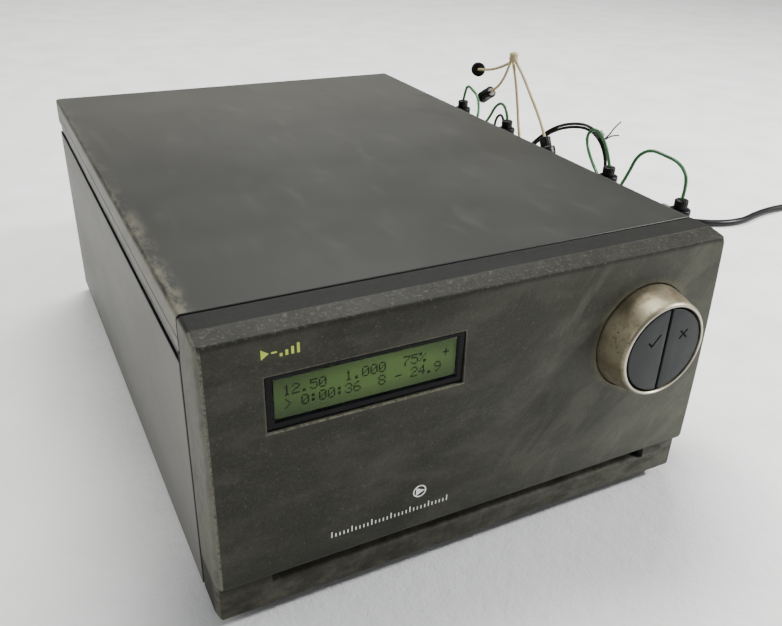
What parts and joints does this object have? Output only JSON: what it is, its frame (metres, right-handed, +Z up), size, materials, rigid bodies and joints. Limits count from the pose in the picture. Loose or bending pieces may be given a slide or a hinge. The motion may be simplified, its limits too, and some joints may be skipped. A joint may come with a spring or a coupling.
{
  "type": "laboratory pump module",
  "caption": "Bench laboratory pump module: metal case, moulded front with lit display and knob, and plunger pump heads with stiff capillary tubes on the right side.",
  "frame": {"origin": "on the surface it stands on, under the middle of the object without its mains lead and loose tubes", "axes": "+Z up, front panel towards -Y, pump heads towards +X"},
  "size_m": [0.7487, 0.4098, 0.1916],
  "materials": {
    "cover_paint": "satin powder coat, fine texture",
    "side_paint": "satin powder coat, fine texture",
    "frame_metal": "zinc plated sheet",
    "front_moulding": "fine textured moulding, worn",
    "foot_rubber": "matt",
    "bezel_black": "satin",
    "window_clear": "clear",
    "display_lit": "lit green liquid crystal",
    "plated_frame": "plated",
    "circuit_board": "solder mask",
    "knob_metal": "satin turned, worn",
    "encoder_black": "matt",
    "button_grey": "matt moulded",
    "power_metal": "plated",
    "inlet_black": "moulded",
    "socket_metal": "plated",
    "motor_black": "satin",
    "drive_alloy": "machined",
    "screw_steel": "ground",
    "piston_ceramic": "polished",
    "rinse_white": "natural",
    "head_steel": "machined",
    "valve_black": "moulded",
    "manifold_beige": "natural polymer",
    "clip_grey": "moulded",
    "tube_green": "extruded",
    "tube_beige": "extruded",
    "cable_black": "satin"
  },
  "bodies": {
    "case": {"base_tray": "side_paint", "frame_rails": "frame_metal", "top_cover": "cover_paint", "right_panel": "side_paint", "rear_panel": "side_paint", "feet": "foot_rubber", "front_panel": "front_moulding", "display_bezel": "bezel_black", "display_window": "window_clear", "display_glass": "display_lit", "display_frame": "plated_frame", "display_board": "circuit_board", "button_core": "encoder_black", "knob_bracket": "plated_frame", "main_board": "circuit_board", "power_supply": "power_metal", "mains_inlet": "inlet_black", "switch_body": "inlet_black", "link_sockets": "socket_metal", "drive_motors": "motor_black", "drive_housings": "drive_alloy", "rinse_housings": "rinse_white", "pump_heads": "head_steel", "head_screws": "screw_steel", "outlet_valves": "head_steel", "inlet_valves": "head_steel", "outlet_unions": "valve_black", "tube_nuts": "valve_black", "pressure_cell": "manifold_beige", "outlet_manifolds": "manifold_beige", "inlet_manifolds": "manifold_beige", "tube_clip": "clip_grey", "outlet_tubes": "tube_green", "cell_tubes": "tube_beige", "tube_junction": "tube_beige", "low_tube": "tube_beige", "high_tube": "tube_beige", "loose_nuts": "valve_black", "sensor_cable": "cable_black", "cable_glands": "valve_black", "lead_connector": "cable_black", "mains_lead": "cable_black", "mains_coil": "cable_black", "mains_tail": "cable_black", "mains_plug": "cable_black"},
    "knob": {"knob_ring": "knob_metal", "encoder_disc": "encoder_black"},
    "ok_key": {"ok_button": "button_grey"},
    "esc_key": {"esc_button": "button_grey"},
    "power_rocker": {"mains_rocker": "inlet_black"},
    "purge_1": {"purge_knob_1": "valve_black"},
    "purge_2": {"purge_knob_2": "valve_black"},
    "screw_1": {"lead_screw_1": "screw_steel"},
    "piston_1": {"plunger_1": "piston_ceramic"},
    "screw_2": {"lead_screw_2": "screw_steel"},
    "piston_2": {"plunger_2": "piston_ceramic"},
    "screw_3": {"lead_screw_3": "screw_steel"},
    "piston_3": {"plunger_3": "piston_ceramic"},
    "screw_4": {"lead_screw_4": "screw_steel"},
    "piston_4": {"plunger_4": "piston_ceramic"}
  },
  "joints": [
    {"name": "knob_turn", "type": "hinge", "parent": "case", "child": "knob", "pos_m": [0.057, -0.1853, 0.1039], "axis": [0, 1, 0], "continuous": true},
    {"name": "ok_press", "type": "slide", "parent": "case", "child": "ok_key", "axis": [0, 1, 0], "range_m": [0, 0.001], "stiffness_N_per_m": 900, "springref_m": -0.0006},
    {"name": "esc_press", "type": "slide", "parent": "case", "child": "esc_key", "axis": [0, 1, 0], "range_m": [0, 0.001], "stiffness_N_per_m": 900, "springref_m": -0.0006},
    {"name": "rocker_tip", "type": "hinge", "parent": "case", "child": "power_rocker", "pos_m": [0.0677, 0.1876, 0.07], "axis": [0, 0, 1], "range_deg": [0, 20]},
    {"name": "purge_1_turn", "type": "hinge", "parent": "case", "child": "purge_1", "pos_m": [0.1227, -0.08305, 0.1212], "axis": [1, 0, 0], "range_deg": [0, 180]},
    {"name": "purge_2_turn", "type": "hinge", "parent": "case", "child": "purge_2", "pos_m": [0.1227, 0.0597, 0.1212], "axis": [1, 0, 0], "range_deg": [0, 180]},
    {"name": "screw_1_turn", "type": "hinge", "parent": "case", "child": "screw_1", "pos_m": [-0.0173, -0.12675, 0.095], "axis": [1, 0, 0], "range_deg": [0, 3600.5]},
    {"name": "plunger_1_stroke", "type": "slide", "parent": "case", "child": "piston_1", "axis": [1, 0, 0], "range_m": [0, 0.02]},
    {"name": "screw_2_turn", "type": "hinge", "parent": "case", "child": "screw_2", "pos_m": [-0.0173, -0.06735, 0.095], "axis": [1, 0, 0], "range_deg": [0, 3600.5]},
    {"name": "plunger_2_stroke", "type": "slide", "parent": "case", "child": "piston_2", "axis": [1, 0, 0], "range_m": [0, 0.02]},
    {"name": "screw_3_turn", "type": "hinge", "parent": "case", "child": "screw_3", "pos_m": [-0.0173, 0.0413, 0.095], "axis": [1, 0, 0], "range_deg": [0, 3600.5]},
    {"name": "plunger_3_stroke", "type": "slide", "parent": "case", "child": "piston_3", "axis": [1, 0, 0], "range_m": [0, 0.02]},
    {"name": "screw_4_turn", "type": "hinge", "parent": "case", "child": "screw_4", "pos_m": [-0.0173, 0.1007, 0.095], "axis": [1, 0, 0], "range_deg": [0, 3600.5]},
    {"name": "plunger_4_stroke", "type": "slide", "parent": "case", "child": "piston_4", "axis": [1, 0, 0], "range_m": [0, 0.02]}
  ],
  "couplings": [
    {"joint": "screw_1_turn", "follows": "plunger_1_stroke", "rad_per_m": 3141.6},
    {"joint": "screw_2_turn", "follows": "plunger_2_stroke", "rad_per_m": 3141.6},
    {"joint": "screw_3_turn", "follows": "plunger_3_stroke", "rad_per_m": 3141.6},
    {"joint": "screw_4_turn", "follows": "plunger_4_stroke", "rad_per_m": 3141.6}
  ]
}
